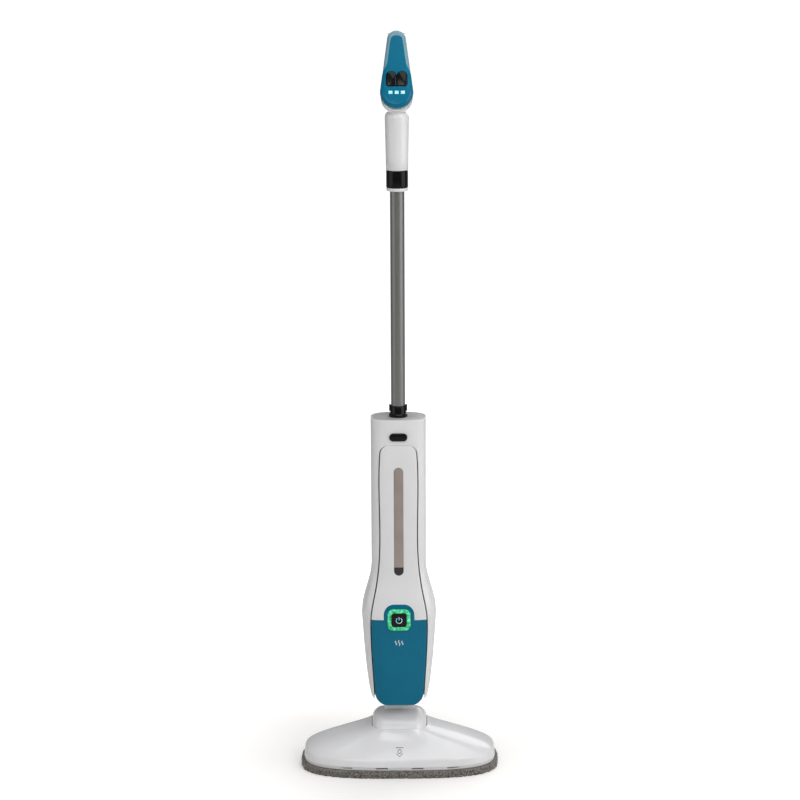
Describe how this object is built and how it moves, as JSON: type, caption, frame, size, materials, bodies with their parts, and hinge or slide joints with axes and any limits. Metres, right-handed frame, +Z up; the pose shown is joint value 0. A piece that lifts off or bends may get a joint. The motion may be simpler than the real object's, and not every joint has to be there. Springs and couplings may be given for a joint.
{
  "type": "steam mop",
  "caption": "Upright steam mop with a wide padded head, tilting drum neck, white body with a removable water tank, grey pole and a closed grip with push buttons.",
  "frame": {"origin": "on the floor under the middle of the head", "axes": "+X to the right seen from the front, +Y to the user behind, +Z up along the pole"},
  "size_m": [0.315, 0.16, 1.1664],
  "materials": {
    "microfibre": "nubby grey microfibre loops",
    "hook_tape": "woven hook tape",
    "light_grey_abs": "moulded, satin",
    "grey_pp": "moulded, plain",
    "white_abs": "moulded, polished",
    "bush_plastic": "moulded acetal",
    "silicone": "translucent silicone hose",
    "steel": "zinc plated",
    "teal_abs": "moulded, polished teal",
    "circuit_board": "solder mask",
    "mid_grey_abs": "moulded, fine texture",
    "black_abs": "moulded, polished black",
    "cast_aluminium": "die cast",
    "black_rubber": "moulded rubber",
    "grey_tube": "powder coated grey tube",
    "smoked_lens": "clear plastic, smoked",
    "tank_plastic": "clear plastic tank",
    "lit_ring": "diffusing, lit green",
    "level_light": "diffusing, lit pale blue"
  },
  "bodies": {
    "head": {"mop_pad": "microfibre", "hook_strips": "hook_tape", "base_plate": "light_grey_abs", "steam_plate": "grey_pp", "head_shell": "white_abs", "pivot_cradle": "grey_pp", "pivot_bushes": "bush_plastic", "steam_banjo": "grey_pp", "head_hose": "silicone", "head_screws": "steel"},
    "swivel": {"swivel_drum": "white_abs", "pitch_axle": "steel", "neck_yoke": "light_grey_abs", "drum_hose": "silicone"},
    "body": {"swivel_socket": "grey_pp", "roll_pin": "steel", "rear_housing": "white_abs", "side_housing": "white_abs", "lower_cover": "teal_abs", "light_ring": "lit_ring", "control_board": "circuit_board", "top_cap": "mid_grey_abs", "pole_socket": "black_abs", "tank_valve": "grey_pp", "water_hose": "silicone", "feed_hose": "silicone", "pump": "grey_pp", "boiler": "cast_aluminium", "boiler_bracket": "steel", "thermostat": "steel", "steam_hose": "silicone", "cable_gland": "black_rubber", "lower_cord_hook": "white_abs", "housing_screws": "steel", "pole_tube": "grey_tube", "pole_end_ring": "white_abs", "handle_collar": "black_abs", "handle_stem": "white_abs", "grip_loop": "white_abs", "control_cover": "teal_abs", "level_lights": "level_light", "handle_board": "circuit_board", "signal_cable": "black_rubber", "handle_screws": "steel", "hook_screw": "steel"},
    "tank": {"front_panel": "white_abs", "level_window": "smoked_lens", "water_tank": "tank_plastic", "tank_outlet": "grey_pp", "tank_seal": "black_rubber"},
    "filler_cap": {"tank_cap": "black_abs"},
    "release_key": {"release_button": "black_abs"},
    "power_key": {"power_button": "black_abs"},
    "steam_up_key": {"steam_up_button": "black_abs"},
    "steam_down_key": {"steam_down_button": "black_abs"},
    "cord_hook": {"upper_cord_hook": "white_abs"}
  },
  "joints": [
    {"name": "head_tilt", "type": "hinge", "parent": "head", "child": "swivel", "pos_m": [0, 0, 0.046], "axis": [-1, 0, 0], "range_deg": [0, 65]},
    {"name": "side_swivel", "type": "hinge", "parent": "swivel", "child": "body", "pos_m": [0, 0, 0.124], "axis": [0, 1, 0], "range_deg": [-25, 25]},
    {"name": "tank_pull", "type": "slide", "parent": "body", "child": "tank", "axis": [0, -1, 0], "range_m": [0, 0.075]},
    {"name": "filler_turn", "type": "hinge", "parent": "tank", "child": "filler_cap", "pos_m": [0, -0.009, 0.523], "axis": [0, 0, 1], "range_deg": [0, 90]},
    {"name": "release_press", "type": "slide", "parent": "body", "child": "release_key", "axis": [0, 1, 0], "range_m": [0, 0.003], "stiffness_N_per_m": 900, "springref_m": -0.0005},
    {"name": "power_press", "type": "slide", "parent": "body", "child": "power_key", "axis": [0, 1, 0], "range_m": [0, 0.0012], "stiffness_N_per_m": 1500, "springref_m": -0.0003},
    {"name": "steam_up_press", "type": "slide", "parent": "body", "child": "steam_up_key", "axis": [0, 0.9107, -0.4131], "range_m": [0, 0.0012], "stiffness_N_per_m": 1200, "springref_m": -0.0003},
    {"name": "steam_down_press", "type": "slide", "parent": "body", "child": "steam_down_key", "axis": [0, 0.9107, -0.4131], "range_m": [0, 0.0012], "stiffness_N_per_m": 1200, "springref_m": -0.0003},
    {"name": "cord_hook_turn", "type": "hinge", "parent": "body", "child": "cord_hook", "pos_m": [0, 0.0171, 0.9435], "axis": [0, 1, 0], "range_deg": [0, 180]}
  ]
}
